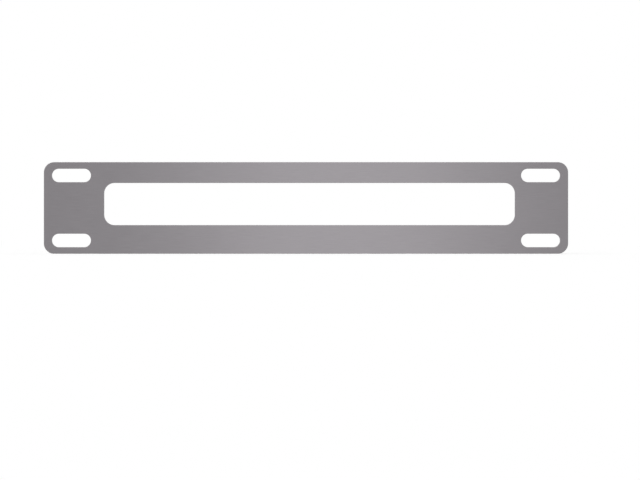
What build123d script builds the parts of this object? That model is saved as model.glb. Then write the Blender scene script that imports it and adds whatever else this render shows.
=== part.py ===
from build123d import *

import os

# Rack pass-through panel, one unit high, for a 10-inch rack: one flat plate cut from sheet steel.
# Seen from the front, +X is to the right, +Z is up and +Y runs into the rack.
# The origin is the centre of the back face, which seats against the rack's posts.

# Driving sizes, in millimetres

panel_width = 254.0  # across the rack, end to end
panel_height = 44.4  # one rack unit, less the gap to the next panel
sheet_thickness = 2.0
corner_radius = 5.0

slot_length = 18.9  # end to end, along the panel
slot_width = 6.5  # clears an M6 rack screw
slot_end_margin = 3.9  # metal between a slot and the panel's end
slot_edge_margin = 3.2  # metal between a slot and the panel's long edge

left_ear = 29.2  # plate left of the opening, which is off centre
right_ear = 25.8
upper_strip = 10.1  # plate above the opening
lower_strip = 13.9
opening_corner_radius = 5.0

edge_break = 0.2  # deburring takes this off each cut edge, front and back

# Sizes that follow

slot_spacing_across = panel_width - 2 * slot_end_margin - slot_length
slot_spacing_up = panel_height - 2 * slot_edge_margin - slot_width

opening_width = panel_width - left_ear - right_ear
opening_height = panel_height - upper_strip - lower_strip
opening_centre = ((left_ear - right_ear) / 2, (lower_strip - upper_strip) / 2)

# The plate: its cut outline, drawn on the back face and given its thickness towards the front

with BuildPart() as panel:
    with BuildSketch(Plane.XZ):
        RectangleRounded(panel_width, panel_height, corner_radius)
        with GridLocations(slot_spacing_across, slot_spacing_up, 2, 2):
            SlotOverall(slot_length, slot_width, mode=Mode.SUBTRACT)
        with Locations(opening_centre):
            RectangleRounded(opening_width, opening_height, opening_corner_radius, mode=Mode.SUBTRACT)
    extrude(amount=sheet_thickness)

    # Tumbling rounds every edge of the outline, the slots and the opening alike
    front_edges = panel.edges().group_by(Axis.Y)[0]
    back_edges = panel.edges().group_by(Axis.Y)[-1]
    fillet(front_edges + back_edges, radius=edge_break)

panel.part.label = "panel"

os.makedirs("parts", exist_ok=True)
export_step(panel.part, "parts/panel.step")
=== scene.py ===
import math

import bmesh
import bpy
from mathutils import Matrix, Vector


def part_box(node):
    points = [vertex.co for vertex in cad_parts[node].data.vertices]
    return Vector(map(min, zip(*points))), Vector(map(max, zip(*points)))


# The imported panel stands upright: +X to the right, +Z up, its front face towards -Y.
# All lengths are in metres, and the panel is centred on X = 0 and Z = 0.

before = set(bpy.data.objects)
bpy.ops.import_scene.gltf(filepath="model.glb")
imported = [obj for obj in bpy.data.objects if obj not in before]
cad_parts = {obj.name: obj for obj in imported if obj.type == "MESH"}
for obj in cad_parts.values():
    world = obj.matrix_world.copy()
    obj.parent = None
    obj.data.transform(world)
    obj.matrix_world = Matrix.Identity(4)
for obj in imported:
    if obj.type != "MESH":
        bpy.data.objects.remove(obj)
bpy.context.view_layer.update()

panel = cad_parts["panel"]
panel_low, panel_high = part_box("panel")
panel_width = panel_high.x - panel_low.x
front_face = panel_low.y
back_face = panel_high.y
lower_edge = panel_low.z

edge_break = 0.0002  # width of the rounding along every cut edge
edge_break_start = 0.00004  # depth under a rolled face at which it begins to turn into a cut wall

upright = math.radians(90)  # turned by this about X, what lies level stands upright

# Camera. The photograph's size, and the panel's width and centre in it, are in pixels

camera_distance = 2.0
photo_width = 640
photo_height = 480
photo_panel_width = 524.33
photo_panel_centre = (306.0, 207.93)

# Both finishes are drawn with noise, nearly all of whose values lie in this range

noise_range = (0.3, 0.7)

# Rolled faces: satin, with a fine grain along the panel and a faint mottle

rolled_dark = (0.279, 0.264, 0.278)
rolled_light = (0.308, 0.292, 0.307)
rolled_roughness = (0.335, 0.385)
grain_per_metre = (120, 0, 6000)
grain_height = 1e-6
mottle_per_metre = (35, 0, 35)
mottle_share = 0.2  # of the difference between dark and light, where the grain makes the rest

# Cut walls: rougher and darker, striped through the sheet's thickness

cut_dark = (0.2, 0.19, 0.2)
cut_light = (0.24, 0.228, 0.239)
cut_roughness = (0.44, 0.48)
stripes_per_metre = (3800, 90, 3800)
stripe_height = 4e-6

# Studio: an even white surround with a soft key lamp, and a glowing board before each face of the
# panel. The steel alone sees the boards, whose brightness is given against the surround's white.

floor_size = 8.0
floor_ambient = 0.65  # share of the floor's light that comes from all around
key_azimuth = math.radians(-35)
key_elevation = math.radians(55)
key_softness = math.radians(40)

board_gap = 0.145
board_size = 0.7
board_centre_x = 0.018
board_middle = 0.030  # as far as this to both sides of its centre, a board is at its brightest
board_side = 0.117  # and from here on it is at its dimmest
board_bright = (1.24, 1.24, 1.24)
board_dim = (0.752, 0.752, 0.752)


class Socket:
    """An output of a shader node, with arithmetic that adds the Math nodes it needs."""

    def __init__(self, nodes, output):
        self.nodes = nodes
        self.output = output

    def math(self, operation, *values):
        return self.nodes.add("ShaderNodeMath", {"operation": operation}, dict(enumerate(values)))

    def __add__(self, other):
        return self.math("ADD", self, other)

    def __radd__(self, other):
        return self.math("ADD", other, self)

    def __sub__(self, other):
        return self.math("SUBTRACT", self, other)

    def __rsub__(self, other):
        return self.math("SUBTRACT", other, self)

    def __mul__(self, other):
        return self.math("MULTIPLY", self, other)

    def __rmul__(self, other):
        return self.math("MULTIPLY", other, self)

    def __abs__(self):
        return self.math("ABSOLUTE", self)

    def at_most(self, other):
        return self.math("MINIMUM", self, other)

    def beside(self, name):
        """Another output of the same node."""
        return Socket(self.nodes, self.output.node.outputs[name])


class ShaderNodes:
    """The emptied node tree of a material or of the world."""

    def __init__(self, owner):
        owner.use_nodes = True
        self.tree = owner.node_tree
        self.tree.nodes.clear()

    def add(self, kind, settings=None, inputs=None, output=0):
        """Adds a node: its settings first, then a value or a link for each input that is named."""
        node = self.tree.nodes.new(kind)
        for name, value in (settings or {}).items():
            setattr(node, name, value)
        for name, value in (inputs or {}).items():
            if isinstance(value, Socket):
                self.tree.links.new(value.output, node.inputs[name])
            else:
                node.inputs[name].default_value = value
        return Socket(self, node.outputs[output]) if node.outputs else node

    def place(self):
        """Where a point lies on its piece, in metres along X, Y and Z."""
        return self.add("ShaderNodeTexCoord", output="Object")

    def along(self, axis):
        """Where it lies along one of them, such as "X"."""
        return self.add("ShaderNodeSeparateXYZ", {}, {0: self.place()}, output=axis)

    def noise(self, per_metre):
        """Noise from 0 to 1, with so many features to the metre along X, Y and Z."""
        factors = {0: self.place(), 1: per_metre}
        vector = self.add("ShaderNodeVectorMath", {"operation": "MULTIPLY"}, factors)
        character = {"Vector": vector, "Scale": 1.0, "Detail": 2.0, "Roughness": 0.6}
        noise = self.add("ShaderNodeTexNoise", {}, character)
        return self.ramp(noise, *noise_range)

    def ramp(self, value, start, end):
        """A smooth step from 0 to 1 as the value goes from start to end."""
        limits = {"Value": value, "From Min": start, "From Max": end}
        return self.add("ShaderNodeMapRange", {"interpolation_type": "SMOOTHSTEP"}, limits)

    def blend(self, factor, first, second):
        """A colour between two others. The node's colours are its inputs 6 and 7 and its output 2."""
        colours = [c if isinstance(c, Socket) else (*c, 1.0) for c in (first, second)]
        inputs = {"Factor": factor, 6: colours[0], 7: colours[1]}
        return self.add("ShaderNodeMix", {"data_type": "RGBA"}, inputs, output=2)


def mix(factor, first, second):
    """A number between two others."""
    return (1 - factor) * first + factor * second


def make_steel():
    """Bare sheet steel, whose rolled faces and cut walls differ in colour, gloss and marks."""
    steel = bpy.data.materials.new("satin_steel")
    nodes = ShaderNodes(steel)

    # How deep a point lies under the nearer face tells a cut wall from a rolled face
    y = nodes.along("Y")
    depth = (y - front_face).at_most(back_face - y)
    cut = nodes.ramp(depth, edge_break_start, edge_break)

    grain = nodes.noise(grain_per_metre)
    mottle = nodes.noise(mottle_per_metre)
    tone = (1 - mottle_share) * grain + mottle_share * mottle
    stripes = nodes.noise(stripes_per_metre)

    rolled = nodes.blend(tone, rolled_dark, rolled_light)
    wall = nodes.blend(stripes, cut_dark, cut_light)
    roughness = mix(cut, mix(tone, *rolled_roughness), mix(stripes, *cut_roughness))
    height = mix(cut, grain * grain_height, stripes * stripe_height)
    marks = nodes.add("ShaderNodeBump", {}, {"Strength": 1.0, "Distance": 1.0, "Height": height})

    finish = {
        "Base Color": nodes.blend(cut, rolled, wall),
        "Roughness": roughness,
        "Metallic": 1.0,
        "Normal": marks,
    }
    shader = nodes.add("ShaderNodeBsdfPrincipled", {}, finish)
    nodes.add("ShaderNodeOutputMaterial", {}, {"Surface": shader})
    return steel


def make_floor():
    """A plain white floor at the panel's lower edge. It throws no shadow and no steel mirrors it."""
    white = bpy.data.materials.new("white_floor")
    nodes = ShaderNodes(white)
    shader = nodes.add("ShaderNodeBsdfDiffuse", {}, {"Color": (1, 1, 1, 1)})
    nodes.add("ShaderNodeOutputMaterial", {}, {"Surface": shader})

    floor = add_sheet("floor", floor_size, 0, (0, 0, lower_edge), white)
    floor.visible_glossy = False
    floor.visible_shadow = False


def make_boards():
    """The two boards lay the soft highlight across the middle of the front and of the back."""
    glow = bpy.data.materials.new("board_glow")
    nodes = ShaderNodes(glow)
    from_centre = abs(nodes.along("X") - board_centre_x)
    nearness = nodes.ramp(from_centre, board_side, board_middle)
    light = nodes.blend(nearness, board_dim, board_bright)
    shader = nodes.add("ShaderNodeEmission", {}, {"Color": light})
    nodes.add("ShaderNodeOutputMaterial", {}, {"Surface": shader})

    places = {"front_board": front_face - board_gap, "back_board": back_face + board_gap}
    for name, y in places.items():
        board = add_sheet(name, board_size, upright, (0, y, 0), glow)
        board.visible_camera = False
        board.visible_diffuse = False
        board.visible_shadow = False


def add_sheet(name, size, tilt, centre, material):
    """A flat square of the studio, which isn't part of the panel. It lies level before its tilt."""
    shape = bmesh.new()
    bmesh.ops.create_grid(shape, x_segments=1, y_segments=1, size=size / 2)
    bmesh.ops.rotate(shape, verts=shape.verts, cent=(0, 0, 0), matrix=Matrix.Rotation(tilt, 3, "X"))
    bmesh.ops.translate(shape, verts=shape.verts, vec=centre)
    mesh = bpy.data.meshes.new(name)
    shape.to_mesh(mesh)
    shape.free()
    mesh.materials.append(material)

    sheet = bpy.data.objects.new(name, mesh)
    bpy.context.scene.collection.objects.link(sheet)
    return sheet


def light_surround():
    """A surround that looks white, though it gives the floor only a part of its light."""
    world = bpy.data.worlds.new("surround")
    bpy.context.scene.world = world
    nodes = ShaderNodes(world)
    rays = nodes.add("ShaderNodeLightPath")
    looks = ("Is Camera Ray", "Is Glossy Ray", "Is Transmission Ray")
    seen = sum(rays.beside(look) for look in looks).at_most(1)
    strength = mix(seen, floor_ambient, 1)
    white = nodes.add("ShaderNodeBackground", {}, {"Color": (1, 1, 1, 1), "Strength": strength})
    nodes.add("ShaderNodeOutputWorld", {}, {"Surface": white})


def place_key():
    """The key lamp gives the floor the rest of its light, and the panel its soft shadow."""
    key = bpy.data.lights.new("key", "SUN")
    key.angle = key_softness
    # Straight above and alone, a lamp of strength pi would make the floor exactly white
    key.energy = (1 - floor_ambient) * math.pi / math.sin(key_elevation)

    holder = bpy.data.objects.new("key", key)
    bpy.context.scene.collection.objects.link(holder)
    holder.rotation_euler = (upright - key_elevation, 0, key_azimuth)


def place_camera():
    """Straight on, from so far away that the panel looks flat, and framed as the photograph is."""
    pixel = panel_width / photo_panel_width
    camera = bpy.data.cameras.new("camera")
    camera.lens = camera.sensor_width * camera_distance / (photo_width * pixel)

    # It stands off the panel's centre by as much as the photograph's own centre does
    holder = bpy.data.objects.new("camera", camera)
    bpy.context.scene.collection.objects.link(holder)
    right = (photo_width / 2 - photo_panel_centre[0]) * pixel
    down = (photo_height / 2 - photo_panel_centre[1]) * pixel
    holder.location = (right, front_face - camera_distance, -down)
    holder.rotation_euler = (upright, 0, 0)
    bpy.context.scene.camera = holder


panel.material_slots[0].material = make_steel()
make_floor()
make_boards()
light_surround()
place_key()
place_camera()
bpy.context.scene.view_settings.view_transform = "Standard"
